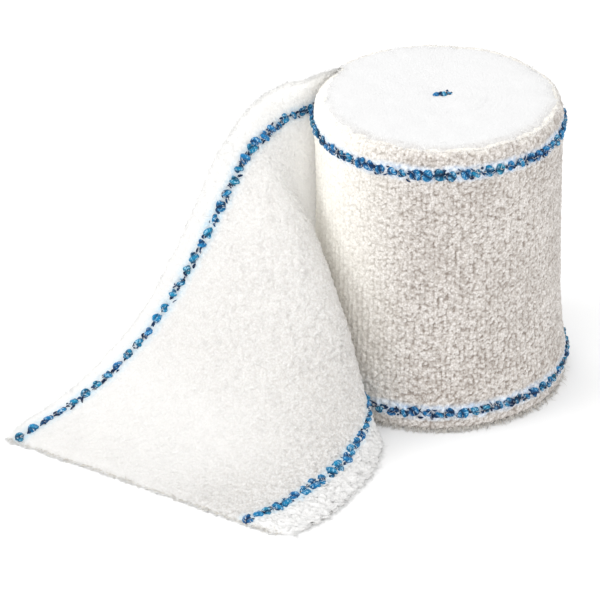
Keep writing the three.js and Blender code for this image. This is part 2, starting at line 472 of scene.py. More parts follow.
# Cotton in its pits, between, and on its nubs, with painted shade in the pits; a painted shaded copy where it
# is wound on and a painted lit copy where it hangs free, of the same cloth
COTTON_BASE = (0.90, 0.89, 0.87)
RELIEF_PLACES = (0.0, 0.30, 0.70)
SHADED_CREPE = ((0.38, 0.34, 0.31), (0.572, 0.541, 0.517), (0.726, 0.70, 0.68))
LIT_CREPE = ((0.51, 0.50, 0.49), (0.915, 0.913, 0.91), (0.957, 0.957, 0.956))
GRAIN_SHADE = (0.70, 0.67, 0.64)
FLECK_SHADE = (0.76, 0.74, 0.72)
# Blue lint on the roll, and a lighter copy of it on the loose end as painted light
WALL_LINT = ((0.36, 0.51, 0.74), (0.78, 0.88, 0.97))
BRIGHT_LINT = ((0.46, 0.74, 0.94), (0.85, 0.95, 1.0))
GLOW = (0.97, 0.963, 0.95)

# The cotton's textures: their scales, and the depths of its grains and its nap in metres
GRAIN_SCALE, FLECK_SCALE, CLOUD_SCALE, LINT_SCALE, NAP_SCALE = 1250.0, 1900.0, 150.0, 1100.0, 2600.0
GRAIN_DEPTH, NAP_DEPTH = -0.0003, 0.00012
GRAIN_BUMP, THIN_GRAIN_BUMP, NAP_BUMP = 0.5, 0.7, 0.6


def crepe_tone(tree, place, fine):
    """Woven cotton: painted shade in its pits, white on its nubs, with darker grains and flecks; a layer
    mixes the painted shaded copy with the painted lit one.
    """
    relief = layer_value(tree, "relief")
    shaded_tone = ramp(tree, relief, RELIEF_PLACES, SHADED_CREPE)
    bright = ramp(tree, relief, RELIEF_PLACES, LIT_CREPE)
    tone = mix_colour(tree, layer_value(tree, "bright"), shaded_tone, bright)
    tone = multiply(tree, tone, ramp(tree, fine, (0.30, 0.80), (WHITE, GRAIN_SHADE)))
    flecks = noise(tree, place, FLECK_SCALE, 2.0)
    return multiply(tree, tone, ramp(tree, flecks, (0.36, 0.58), (FLECK_SHADE, WHITE)))


def let_light_through(tree, shader, normal):
    """Lets the share of light in the layer named thin shine through the cloth."""
    glow = new_node(tree, "BsdfTranslucent", Color=(*GLOW, 1), Normal=normal)
    both = new_node(tree, "MixShader", Fac=layer_value(tree, "thin"))
    tree.links.new(shader.outputs["BSDF"], both.inputs[1])
    tree.links.new(glow.outputs["BSDF"], both.inputs[2])
    tree.links.new(both.outputs["Shader"], tree.nodes["Material Output"].inputs["Surface"])


def cotton_material(name, brushed, thin=False, lint_tones=WALL_LINT):
    """Crepe cotton: woven, even where it is brushed up and where painted light falls beside the loose end,
    and blue with lint by the yarn.
    """
    material, tree, shader = new_material(name, COTTON_BASE, 0.95, 0.15)
    place = object_place(tree)
    fine = new_node(tree, "TexVoronoi", Vector=place, Scale=GRAIN_SCALE).outputs["Distance"]
    tone = crepe_tone(tree, place, fine)
    clouds = noise(tree, place, CLOUD_SCALE)
    even = ramp(tree, clouds, (0.3, 0.7), (tuple(0.975 * c for c in brushed), brushed))
    tone = mix_colour(tree, layer_value(tree, "soft"), tone, even)
    lint_tone = ramp(tree, noise(tree, place, LINT_SCALE, 2.0), (0.35, 0.62), lint_tones)
    tone = mix_colour(tree, layer_value(tree, "lint"), tone, lint_tone)
    normal = bump(tree, fine, GRAIN_DEPTH, THIN_GRAIN_BUMP if thin else GRAIN_BUMP)
    normal = bump(tree, noise(tree, place, NAP_SCALE, 3.0, 0.7), NAP_DEPTH, NAP_BUMP, Normal=normal)
    fill(tree, shader, {"Base Color": tone, "Normal": normal})
    if thin:
        let_light_through(tree, shader, normal)
    return material


def fluff_material():
    """Loose fibres of the same cotton: soft, white and almost even."""
    material, tree, shader = new_material("cotton_fluff", (0.9, 0.895, 0.885), 0.95, 0.15)
    place = object_place(tree)
    clouds = noise(tree, place, 160.0)
    tone = ramp(tree, clouds, (0.3, 0.7), ((0.86, 0.86, 0.855), (0.90, 0.90, 0.895)))
    nap = noise(tree, place, 1500.0, 3.0, 0.6)
    fill(tree, shader, {"Base Color": tone, "Normal": bump(tree, nap, 0.00008, 0.25)})
    return material


# Dyed yarn, with painted shade deep between its plies, halfway, and on top
YARN_BASE = (0.004, 0.13, 0.46)
YARN_PLACES = (0.0, 0.32, 0.8)
BLUE = ((0.006, 0.020, 0.06), (0.007, 0.085, 0.23), (0.012, 0.20, 0.45))
TEAL = ((0.006, 0.024, 0.05), (0.007, 0.11, 0.18), (0.015, 0.25, 0.38))
YARN_SHADE = (0.55, 0.55, 0.65)
# Painted highlights on the ply tops in random flecks, with painted shade deep between them
PAINTED_HIGHLIGHT = ((0.02, 0.06, 0.14), (0.36, 0.60, 0.77))
NO_HIGHLIGHT, FULL_HIGHLIGHT = (0.0, 0.0, 0.0), (0.7, 0.7, 0.7)


def yarn_material():
    """Dyed blue yarn, with painted shade where its plies meet and painted highlights in light flecks on their
    tops; some stitches are nearer green.
    """
    material, tree, shader = new_material("blue_yarn", YARN_BASE, 0.85, 0.08, 0.05)
    place = object_place(tree)
    depth = layer_value(tree, "relief")
    blue = ramp(tree, depth, YARN_PLACES, BLUE)
    teal = ramp(tree, depth, YARN_PLACES, TEAL)
    tone = mix_colour(tree, layer_value(tree, "tint"), blue, teal)
    tone = multiply(tree, tone, ramp(tree, noise(tree, place, 900.0), (0.35, 0.65), (YARN_SHADE, WHITE)))
    # Random flecks where the yarn gets a painted highlight on top and painted shade deep down
    worn = ramp(tree, noise(tree, place, 1500.0, 2.0), (0.54, 0.63), (NO_HIGHLIGHT, FULL_HIGHLIGHT))
    tone = mix_colour(tree, worn, tone, ramp(tree, depth, (0.1, 0.6), PAINTED_HIGHLIGHT))
    fibre = noise(tree, place, 3200.0, 3.0, 0.7)
    fill(tree, shader, {"Base Color": tone, "Normal": bump(tree, fibre, 0.0002, 0.8)})
    return material


# The wall's even colour is a warm cream: the painted glow of the crevice beside the loose end
COTTON = cotton_material("cotton_crepe", (0.96, 0.94, 0.865))
THIN_COTTON = cotton_material("cotton_crepe_thin", (0.94, 0.94, 0.938), True, BRIGHT_LINT)
# The roll's ends take a darker copy of the same cotton: painted shade that offsets the strong light on the
# top
SHADED_END_COTTON = cotton_material("cotton_roll_end", (0.69, 0.69, 0.693))
FLUFF = fluff_material()
YARN = yarn_material()


# Wall of the roll

# Mesh step, the share of a turn where the front part ends, and how both selvages round inwards
WALL_STEP = 0.42
WALL_SPLIT = 210 / 360
HEM_STEPS = 11
HEM_TURN = 165
TOP_HEM = 2.2
TOP_HEM_RISE = 0.45
FOOT_HEM = 0.6
FOOT_HEM_RUN = 1.2
FOOT_TUCK = 1.3
FOOT_TUCK_HEIGHT = 2.2

# The nubs die out over the hems: how far past each selvage, and over what distance
NUBS_PAST = (0.5, 2.5)
NUBS_FADE = 4

# Parts of the wall that differ: where the difference starts, and where it is in full
# The wall's left part beside the loose end takes painted light and smaller nubs, and the crevice next to it a
# painted glow
LIT_LEFT_TURNS = (0.33, 0.16)
CREVICE_LIGHT_TURNS = (0.14, 0.09)
COARSE_HEIGHTS = (45, 20)
# Painted shade along the foot of the wall, darkest at the floor
FOOT_PAINTED_SHADE = (3, 0)
UNEVEN_RIM = (90, 100)

# Where the upper line of yarn leaves its level: shares of a turn, and rises
YARN_TURNS = (0.25, 0.36, 0.47, 0.55, 0.62, 0.9)
YARN_RISES = (0, 0.7, 0.8, 1.3, -0.6, 0)

RIM_FADE = 6
MEAN_TONE = 0.42


def rim_rise(turns):
    """How far the top rim stands above or below its mean height."""
    run = WALL_RUN * np.mod(turns, 1)
    return clamp(np.minimum(run, WALL_RUN - run) / RIM_FADE) * line_waves(run, RIM_WAVES)


def yarn_rise(turns):
    """How far the upper line of yarn wanders off its level towards the right of the roll."""
    return np.interp(turns, YARN_TURNS, YARN_RISES)


def wall_grid(from_turn, to_turn):
    """Places on the wall: share of a turn, height, distance in from the wall, and place across the band."""
    columns = round(WALL_RUN * (to_turn - from_turn) / WALL_STEP) + 1
    level = np.linspace(0, BAND, round(BAND / WALL_STEP) + 1)
    bend = np.radians(np.linspace(0, HEM_TURN, HEM_STEPS + 1)[1:])
    height = np.concatenate([0 * bend, level, BAND + TOP_HEM_RISE * np.sin(bend)])
    inward = np.concatenate([(1 - np.cos(bend[::-1])) * FOOT_HEM, 0 * level, (1 - np.cos(bend)) * TOP_HEM])
    across = np.concatenate([-bend[::-1] * FOOT_HEM_RUN, level, BAND + bend * TOP_HEM])
    t, h = np.meshgrid(np.linspace(from_turn, to_turn, columns), height, indexing="xy")
    return t, h, column(inward) + 0 * t, column(across) + 0 * t


def build_wall(name, from_turn, to_turn):
    """Part of the outer face of the roll; at both ends of the roll its selvage rounds inwards."""
    t, h, inward, v = wall_grid(from_turn, to_turn)
    angle, u = LEAVE_ANGLE + 360 * t, WALL_RUN * t
    relief = crepe(u, v, WALL_CREPE)
    woven = clamp(np.minimum(v + NUBS_PAST[0], BAND + NUBS_PAST[1] - v) / NUBS_FADE)
    # Share of the wall's left part beside the loose end: painted light there, with smaller nubs and stronger
    # folds
    brushed = eased(fade(t, *LIT_LEFT_TURNS))
    coarse = blend(1, 1.2, fade(v, *COARSE_HEIGHTS))
    fold = np.cos(2 * np.pi * (u + waves(u, v, FOLD_SWAY)) / FOLD_PITCH)
    fold = fold * (0.75 + waves(u, v, FOLD_DEPTH)) * blend(1, 1.4, brushed)
    nub = NUB_HEIGHT * coarse * relief * blend(0.25, 1, woven) * blend(1, 0.6, brushed)
    proud = nub - GROUND * coarse * blend(1, 0.7, brushed) + FOLD_HEIGHT * fold * woven
    inward = inward + FOOT_TUCK * clamp(1 - h / FOOT_TUCK_HEIGHT) ** 2
    radius = spiral_radius(angle, np.clip(h, 0, BAND), t) - inward
    radius = radius + proud * np.where(v > BAND, 0.6, 1)
    z = h + rim_rise(t) * fade(v, *UNEVEN_RIM) ** 2 + np.where(v > BAND, 0.5 * proud, 0)
    z = np.maximum(z, CLOTH_FLOOR)
    # Painted shade in the troughs of the folds, on top of the painted shade in the pits
    tone = MEAN_TONE + (relief - MEAN_TONE) * coarse + 0.05 * fold
    # Painted shade along the foot of the wall
    tone = blend(0.8, tone, woven) - 0.6 * fade(v, *FOOT_PAINTED_SHADE)
    # Painted light over the wall's left part beside the loose end: an even cream colour, strongest in the
    # crevice, and a share of the painted lit copy
    left_painted_light = 0.66 * brushed + 0.30 * fade(t, *CREVICE_LIGHT_TURNS)
    soft = np.clip((v - 99.0) / 7 + waves(u, v, WHITE_EDGE), left_painted_light, 1)
    off_top = v - (BAND - ROLL_MARGIN) - yarn_rise(t)
    shed = np.maximum(lint(u, off_top, TOP_LINT, ROLL_LINT), lint(u, v - ROLL_MARGIN, BOTTOM_LINT, ROLL_LINT))
    piece = make_piece(name, polar(angle, radius, z), grid_faces(*t.shape), COTTON,
                       relief=tone, soft=soft, lint=shed, bright=0.25 * brushed)
    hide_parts("roll")


# Ends of the roll

CROWN_COLUMNS, CROWN_RINGS = 420, 64
FOOT_COLUMNS, FOOT_RINGS = 240, 22
INNERMOST_RING = 0.012
CROWN_INSET = 0.9
FOOT_INSET = 0.2

# Height of the crown above the band's edge, at shares of its radius
CROWN_PLACES = (0, 0.2, 0.55, 0.75, 0.86, 0.94, 0.97, 1)
CROWN_RISES = (0.5, 0.7, 1.1, 1.1, 0.95, 0.7, 0.45, -0.2)

# The patch beside the middle where the turns show, and how high they stand
PATCH_MIDDLE = (14, -5)
PATCH_SIZE = 10
RIDGE_HEIGHT = 0.45

# Ragged threads round the rim: from which shares of the radius, and at what pitch
RAGGED_RADIUS = 38
RAGGED_START = 0.89
RAGGED_FADE = 0.10
RAGGED_LIMIT = (0.84, 0.94)
RAGGED_PITCH = (1.6, 1.3)
RAGGED_RELIEF = 0.35

# How woven the rim of the crown looks round the turn; its left and its back are brushed
NUBBY_TURNS = (0.10, 0.22, 0.52, 0.62)
NUBBY_SHARES = (0.2, 1, 1, 0.2)


def end_grid(rings, columns, rim):
    """Places on an end of the roll: share of a turn, share of its radius, radius, and the turns' ridges."""
    turns = np.linspace(0, 1, columns + 1)[:-1]
    t, s = np.meshgrid(turns, np.linspace(1, INNERMOST_RING, rings), indexing="xy")
    winding = rim * s / TURN
    ridge = 1 - np.abs(2 * (winding - np.floor(winding)) - 1) ** 4
    return t, s, rim * s + TURN * (t - 0.5) * clamp(s * 3), ridge


def make_end(name, places, faces_up, relief, soft):
    """A disc through rings of places, closed in the middle."""
    rings, columns = places.shape[:2]
    middle = [0, 0, float(places[-1, :, 2].mean())]
    points = np.concatenate([places.reshape(-1, 3), [middle]])
    last = np.arange(columns) + (rings - 1) * columns
    fan = np.stack([last, np.roll(last, -1), 0 * last + len(points) - 1], axis=1)
    faces = np.concatenate([halves(ring_faces(rings, columns)), fan])
    if not faces_up:
        faces = faces[:, ::-1]
    piece = make_piece(name, points, faces, SHADED_END_COTTON, relief=np.append(relief, 1), soft=np.append(soft, 1))
    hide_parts("roll")


def build_crown():
    """Upper end: brushed almost white, in a darker copy of the cotton as painted shade against the strong
    light on the top, with a few turns faintly seen, and ragged threads round its rim.
    """
    t, s, radius, ridge = end_grid(CROWN_RINGS, CROWN_COLUMNS, float(wall_radius(BAND)) - CROWN_INSET)
    angle = LEAVE_ANGLE + 360 * t
    turn = np.radians(angle)
    x, y = radius * np.cos(turn), radius * np.sin(turn)
    patch = np.exp(-((x - PATCH_MIDDLE[0]) ** 2 + (y - PATCH_MIDDLE[1]) ** 2) / PATCH_SIZE ** 2)
    shown = 0.10 + patch * (0.7 + waves(x, y, PATCH_SWAY))
    ragged = clamp((s - RAGGED_START) / RAGGED_FADE + waves(x, y, RAGGED_EDGE))
    ragged = ragged * fade(s, *RAGGED_LIMIT)
    run = RAGGED_RADIUS * turn
    radius = radius + ragged * line_waves(run, THREAD_SWAY)
    relief = nubs(run, radius, *RAGGED_PITCH, RIM_NUBS)
    z = BAND + np.interp(s, CROWN_PLACES, CROWN_RISES) + waves(x, y, CROWN_WAVES)
    z = z + RIDGE_HEIGHT * shown * ridge + RAGGED_RELIEF * ragged * (relief - 0.5) + rim_rise(t) * s ** 6
    nubby = np.interp(t, NUBBY_TURNS, NUBBY_SHARES)
    make_end("roll_crown", polar(angle, radius, z), True, relief, 1 - 0.45 * ragged * nubby)


def build_foot():
    """Lower end, hidden under the roll: flat, with a groove between turns."""
    t, s, radius, ridge = end_grid(FOOT_RINGS, FOOT_COLUMNS, float(wall_radius(0)) - FOOT_INSET)
    z = 0.05 + 0.35 * (1 - ridge) * clamp((1 - s) * 8)
    make_end("roll_foot", polar(LEAVE_ANGLE + 360 * t, radius, z), False, ridge, 1 + 0 * s)


# Loose end

END_COLUMNS = 274
END_ROWS = 172
TUCK = 0.12

# Radii of the cut edge's worn corners, lower and upper, and how far its threads are gone
CORNER_ROUND = (6.0, 2.5)
CUT_BACK = 0.5

# Scallops of the lower selvage: the rows over which they start, their depth, and radians to a millimetre
SCALLOP_ROWS = (5, 7)
SCALLOP_DEPTH = 1.2
SCALLOP_RATE = 0.62

# How far the upper selvage is brushed up beside the roll: rows and distances
BRUSHED_ROWS = (0, 0.5, 1.3, 2.2, 4.0)
BRUSHED_REACH = (0.3, 1.8, 3.2, 2.6, 0)

# The sheet sinks to this height at its cut edge, over this distance
SINK_HEIGHT = 0.3
SINK_RUN = 3.0

# Half the thickness of the sheet's body, and how far from an edge it thins
HALF_BODY = 0.32
THIN_RUN = 2.5

# Parts of the loose end that differ: where the difference starts, and where it is in full
SMOOTH_ROWS = (4.5, 7.0)
SMOOTH_ACROSS = (1 / 22, 1 / 2)
WORN_ACROSS = (7 / 24, 9 / 8)
FOLD_LIGHT_ROWS = (3, 1)
# Rows of the painted light in the fold by the roll
SHEER_ROWS = (4, 2)
CLOSE_BELOW = (17.5, -7.5)
LEAVING_ROWS = (0, 1.7)
MARGIN_FADE = (0, -2)
FRAYED = (2.0, 0)
BRUSHED_EDGE = (2.5, 0)


def cut_line(across):
    """The row at which the cut edge lies; its two corners are worn round, and its threads end unevenly."""
    up = clamp(across) * END_WIDTH
    back = 0 * up
    for distance, round_by in zip((up, END_WIDTH - up), CORNER_ROUND):
        inside = clamp(1 - distance / round_by)
        back = back + round_by * (1 - np.sqrt(1 - inside ** 2))
    return ROWS - (back + CUT_BACK - line_waves(up, CUT_WAVES)) / ROW_RUN


def yarn_inset(selvage, row):
    """How far the marker yarn lies from its selvage, which widens or narrows towards the cut end."""
    start, end = LOWER_MARGIN if selvage == "lower" else UPPER_MARGIN
    return start + (end - start) * row / ROWS


def lower_selvage(row):
    """How far past the plain edge the lower selvage lies, as a share of the width, with its scallops."""
    run = row * ROW_RUN
    beat = np.abs(np.sin(run * SCALLOP_RATE + line_waves(run, SCALLOP_SWAY)))
    scallop = fade(row, *SCALLOP_ROWS) * SCALLOP_DEPTH * beat
    return (line_waves(run, LOWER_WAVES) - scallop) / END_WIDTH


def upper_selvage(row):
    """The same for the upper selvage, which is brushed up beside the roll."""
    brushed = np.interp(row, BRUSHED_ROWS, BRUSHED_REACH)
    return (line_waves(row * ROW_RUN, UPPER_WAVES) + brushed) / END_WIDTH


def laid_down(points, cut_off):
    """The sheet's middle points, sunk to the surface over the last stretch before the cut edge."""
    points = points.copy()
    sink = clamp(1 - cut_off / SINK_RUN) ** 2
    points[..., 2] -= sink * np.maximum(points[..., 2] - SINK_HEIGHT, 0)
    return points


def both_faces(on_inner, on_outer):
    """Values for the ring of points round the sheet: up its inner face and down its outer one."""
    return np.concatenate([on_inner, on_outer[:, ::-1]], axis=1)


def sheet_faces(rings, size, rows):
    """Faces all round the sheet, with a cap at its root and one at its cut edge."""
    faces = [ring_faces(rings, size)]
    for start, flip in ((0, True), ((rings - 1) * size, False)):
        a = start + np.arange(rows - 1)
        b = start + size - 1 - np.arange(rows - 1)
        cap = np.stack([a, a + 1, b - 1, b], axis=1)
        faces.append(cap[:, ::-1] if flip else cap)
    return np.concatenate(faces)


def build_loose_end():
    """The sheet that leaves the roll: crepe on both faces, thin at its edges, brushed up along the top."""
    share, across = np.meshgrid(np.linspace(0, 1, END_COLUMNS), np.linspace(0, 1, END_ROWS), indexing="ij")
    row = -TUCK + share * (cut_line(across) + TUCK)
    across = across + lower_selvage(row) * (1 - across) + upper_selvage(row) * across
    middle, out, _ = sheet_frame(row, across)
    cut_off = (1 - share) * END_LENGTH
    middle = laid_down(middle, cut_off)
    run, up = row * ROW_RUN, END_WIDTH * across
    inner, outer = crepe(run, up, END_CREPE), crepe(WALL_RUN + run, up, WALL_CREPE)
    off_lower = up - yarn_inset("lower", row)
    off_upper = END_WIDTH - up - yarn_inset("upper", row)
    below, above = fade(off_lower, *MARGIN_FADE), fade(off_upper, *MARGIN_FADE)

    thin = clamp(np.minimum(np.minimum(up, END_WIDTH - up) + 0.6, cut_off + 0.3) / THIN_RUN) ** 0.5
    half = HALF_BODY * blend(0.3, 1, thin)
    smooth = fade(row, *SMOOTH_ROWS) * fade(across, *SMOOTH_ACROSS)
    proud = blend(1.25, 0.70, clamp(across)) * blend(0.5, 1, thin)
    proud = proud * blend(1, 0.5, smooth) * blend(1, 1.2, below)
    inner_face = middle + out * (half + inner * proud)[..., None]
    outer_face = middle - out * (half + outer * NUB_HEIGHT * blend(0.4, 1, thin))[..., None]
    ring = both_faces(inner_face, outer_face)
    ring[..., 2] = np.maximum(ring[..., 2], CLOTH_FLOOR)

    shed = np.maximum(lint(run, off_lower, LOWER_LINT, END_LINT), lint(run, off_upper, UPPER_LINT, END_LINT))
    frayed = 0.75 * fade(cut_off, *FRAYED)
    worn, fold_painted_light = fade(across, *WORN_ACROSS), fade(row, *FOLD_LIGHT_ROWS)
    # Painted light evens and lightens the fold by the roll and the margin below the lower yarn, which lie in
    # shade
    soft = [blend(0.15, 0.70, worn), 0.8 * smooth, 0.95 * fold_painted_light, 0.85 * below, 0.95 * above, frayed]
    outer_soft = [0.08 + 0 * row, frayed, 0.95 * fade(END_WIDTH - up, *BRUSHED_EDGE)]
    leaving = eased(fade(row, *LEAVING_ROWS))
    sheer = 0.2 * fade(row, *SHEER_ROWS) - 0.28 * fade(off_lower, *CLOSE_BELOW)
    piece = make_piece(
        "loose_end_cloth", ring, sheet_faces(END_COLUMNS, 2 * END_ROWS, END_ROWS), THIN_COTTON,
        relief=both_faces(blend(0.24, 1, inner), outer),
        lint=both_faces(shed, shed),
        soft=both_faces(np.maximum.reduce(soft), np.maximum.reduce(outer_soft)),
        # The painted lit copy on the whole inner face, and on the outer face away from the root
        bright=both_faces(1 + 0 * row, 0.85 * leaving),
        thin=both_faces(0.5 + sheer, 0.10 + (0.4 + sheer) * leaving),
    )
    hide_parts("loose_end")
    return piece


# Marker yarn

# Plies: rings and sides, how blunt the ends are, how far a ply turns to either end, and, as shares of a
# stitch's thickness, how far it lies off the middle and its radius; both are less from front to back
PLY_RINGS = 9
PLY_SIDES = 8
PLY_BLUNT = 2.6
PLY_TWIST = 1.3
PLY_OFF = 0.52
PLY_RADIUS = 0.66
PLY_FLAT = (0.55, 0.85)

# Stitches: the range of their length and thickness, and how many degrees they lean
STITCH_LONG = (2.3, 3.4)
STITCH_THICK = (1.05, 1.65)
STITCH_LEAN = 24

# The specks are coloured deep navy as painted shade in the gaps between the stitches
# Specks between the stitches: their mesh, places beside the line, share, length, thickness and hump
SPECK_RINGS = 4
SPECK_SIDES = 5
SPECK_LINES = (-1.0, -0.5, 0.0, 0.4, 0.9)
SPECK_SHARE = 0.75
SPECK_LONG = (0.7, 2.2)
SPECK_THICK = (0.15, 0.48)
SPECK_HUMP = 0.35

# Chains on the roll: name, height, first angle, seed, size of a stitch, and the painted shade that darkens
# its blue on the roll
ROLL_CHAINS = (
    ("roll_top", BAND - ROLL_MARGIN, 175, 101, 1.18, 0.12),
    ("roll_bottom", ROLL_MARGIN, 240, 102, 1.14, 0.14),
)

# Chains on the loose end: name, selvage, face, rows, seed and size of a stitch
END_CHAINS = (
    ("end_top_inner", "upper", 1, (0.6, 8.91), 103, 1.18),
    ("end_bottom_inner", "lower", 1, (4.0, 8.91), 104, 1.34),
    ("end_top_outer", "upper", -1, (0.1, 7.0), 105, 1.0),
    ("end_bottom_outer", "lower", -1, (0.1, 4.5), 106, 1.0),
)

# The short stitch on the crown, where the innermost turn ends: places, direction and height over the band
CORE_PLACES = ((-0.6, 1.6), (1.4, 2.1), (3.2, 2.5))
CORE_WAY = (1.0, 0.2)
CORE_RISE = 0.6


def ply_points(draw, at, ahead, across, out, long, thick):
    """Two plies laid round each other at each place, fat in the middle and drawn in at the ends."""
    s = np.linspace(-1, 1, PLY_RINGS)
    body = np.sqrt(np.maximum(0.02, 1 - np.abs(s) ** PLY_BLUNT))
    around = np.linspace(0, 2 * np.pi, PLY_SIDES, endpoint=False)
    start = draw.uniform(0, 2 * np.pi, len(at))
    parts, depths = [], []
    for ply in (0, 1):
        twist = column(start) + ply * np.pi + PLY_TWIST * s
        lean = column(PLY_OFF * thick) * body
        centre = (at[:, None] + ahead[:, None] * (0.5 * column(long) * s)[..., None]
                  + across[:, None] * (lean * np.cos(twist))[..., None]
                  + out[:, None] * (PLY_FLAT[0] * lean * np.sin(twist))[..., None])
        radius = column(PLY_RADIUS * thick) * body
        side_a = across[:, None] * radius[..., None]
        side_b = out[:, None] * (PLY_FLAT[1] * radius)[..., None]
        parts.append(tubes(centre, side_a, side_b, PLY_SIDES))
        # Painted shade on the side of each ply that meets the other and where the stitch dips into the cloth
        depth = 0.5 + 0.4 * np.cos(around - twist[..., None])
        depths.append((depth * blend(0.35, 1, column(body))).ravel())
    return parts, depths


def speck_points(draw, at, ahead, across, out):
    """Thin ends of yarn between the stitches, which stitch_chain colours deep navy as painted shade in the
    gaps.
    """
    count = len(at)
    s = np.linspace(-1, 1, SPECK_RINGS)
    turn = column(draw.uniform(-1.0, 1.0, count))
    line = ahead * np.cos(turn) + across * np.sin(turn)
    side = across * np.cos(turn) - ahead * np.sin(turn)
    long, thick = column(draw.uniform(*SPECK_LONG, count)), column(draw.uniform(*SPECK_THICK, count))
    hump = out[:, None] * column(SPECK_HUMP * (1 - s ** 2))
    centre = at[:, None] + line[:, None] * (0.5 * long * s)[..., None] + hump
    radius = (thick * np.sqrt(1 - 0.8 * s ** 2))[..., None]
    return tubes(centre, side[:, None] * radius, out[:, None] * radius, SPECK_SIDES)


def stitch_chain(name, at, out, along, seed, size, painted_shade=0.0):
    """Stitches of two-ply yarn at the given places, no two alike, and specks of yarn between them in deep
    navy, a painted shade.
    """
    draw = np.random.default_rng(seed)
    count = len(at)
    beside = np.cross(out, along)
    lean = column(np.radians(draw.normal(0, STITCH_LEAN, count)))
    ahead = along * np.cos(lean) + beside * np.sin(lean)
    across = np.cross(out, ahead)
    long = size * draw.uniform(*STITCH_LONG, count)
    thick = size * draw.uniform(*STITCH_THICK, count)
    place = at + along * column(draw.normal(0, 0.25, count)) + beside * column(draw.normal(0, 0.3, count))
    parts, depths = ply_points(draw, place, ahead, across, out, long, thick)
    for off in SPECK_LINES:
        gap = at + along * column(STITCH_PITCH * draw.uniform(0.3, 0.7, count))
        gap = gap + beside * column(off + draw.normal(0, 0.5, count))
        kept = draw.random(count) < SPECK_SHARE
        kept[-1] = False
        parts.append(speck_points(draw, gap[kept], along[kept], beside[kept], out[kept]))
    points, faces = join(parts)
    per_ply = PLY_RINGS * PLY_SIDES
    per_speck = SPECK_RINGS * SPECK_SIDES
    tint = np.tile(np.repeat(clamp(draw.normal(0.35, 0.35, count)), per_ply), 2)
    # Each stitch's tone differs at random, shifted by the chain's painted shade; a negative one paints it
    # lighter
    paler = np.tile(np.repeat(draw.normal(-painted_shade, 0.12, count), per_ply), 2)
    specks = (len(points) - len(tint)) // per_speck
    # The specks take the deepest blue: painted shade
    speck_painted_shade = np.repeat(draw.uniform(0, 0.45, specks) ** 2, per_speck)
    relief = np.concatenate([clamp(np.concatenate(depths) + paler), speck_painted_shade])
    tint = np.concatenate([tint, 0 * speck_painted_shade])
    piece = make_piece("stitches_" + name, points, faces, YARN, relief=relief, tint=tint)
    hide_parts("yarn_" + name)
    return piece


def roll_places(z, from_angle):
    """Places, outward directions and directions along, for stitches round the roll at a height."""
    to_angle = LEAVE_ANGLE + 359
    arc = math.radians(to_angle - from_angle) * float(wall_radius(z))
    angle = np.linspace(from_angle, to_angle, round(arc / STITCH_PITCH)) - 0.5
    turns = (angle - LEAVE_ANGLE) / 360
    height = z + line_waves(angle, ROLL_YARN_SWAY)
    if z > BAND / 2:
        height = height + yarn_rise(turns)
    at = polar(angle, spiral_radius(angle, height, turns) + 0.05, height)
    return at, polar(angle, 1.0, 0.0), polar(angle + 90, 1.0, 0.0)


def end_places(selvage, face, rows):
    """The same along a selvage of the loose end; face is 1 on its inner side and -1 on its outer one."""
    row = np.linspace(*rows, round((rows[1] - rows[0]) * ROW_RUN / END_STITCH_PITCH))
    inset = (yarn_inset(selvage, row) + line_waves(row, END_YARN_SWAY)) / END_WIDTH
    middle, out, along = sheet_frame(row, inset if selvage == "lower" else 1 - inset)
    middle = laid_down(middle, (ROWS - row) * ROW_RUN)
    return middle + out * face * (SHEET / 2 - 0.1), out * face, along


def build_stitches():
    """All seven chains; hands back those on the loose end."""
    for name, z, from_angle, seed, size, painted_shade in ROLL_CHAINS:
        stitch_chain(name, *roll_places(z, from_angle), seed, size, painted_shade)
    on_end = [stitch_chain(name, *end_places(selvage, face, rows), seed, size)
              for name, selvage, face, rows, seed, size in END_CHAINS]
    at = np.array([(x, y, BAND + CORE_RISE) for x, y in CORE_PLACES])
    along = np.tile([*CORE_WAY, 0], (len(at), 1)) / math.hypot(*CORE_WAY)
    stitch_chain("core", at, np.tile(UP, (len(at), 1)), along, 107, 0.78, -0.25)
    return on_end


# Loose fibres

FIBRE_RINGS = 3
FIBRE_SIDES = 3
WISPS = 7

# Fibres of each kind: how many, how widely spread, how long at most, and how thick
WALL_FIBRES = (3200, 0.8, 1.3, 0.05)
RIM_FIBRES = (2600, 0.7, 2.2, 0.08)
CROWN_FIBRES = (1300, 0.8, 1.6, 0.04)
SELVAGE_FIBRES = (2600, 0.5, 2.8, 0.06)
CUT_FIBRES = (2200, 0.45, 2.2, 0.12)
FACE_FIBRES = (2800, 0.8, 1.2, 0.05)
FOOT_THREADS = (2600, 0.3, 2.6, 0.16)
CUT_THREADS = (700, 0.5, 1.9, 0.16)
OVER_YARN = (0.7, 2.2, 0.07)

# How far in from the rim its fibres start, and how far out those of the whole crown do
RIM_DEPTH = 6
CROWN_REACH = 37

# Share of the threads left under the roll's lower selvage, most of them at the front
FRINGE_TURNS = (0, 0.2, 0.35, 0.5, 0.6, 1)
FRINGE_SHARES = (0.2, 0.5, 0.8, 0.5, 0.1, 0.2)


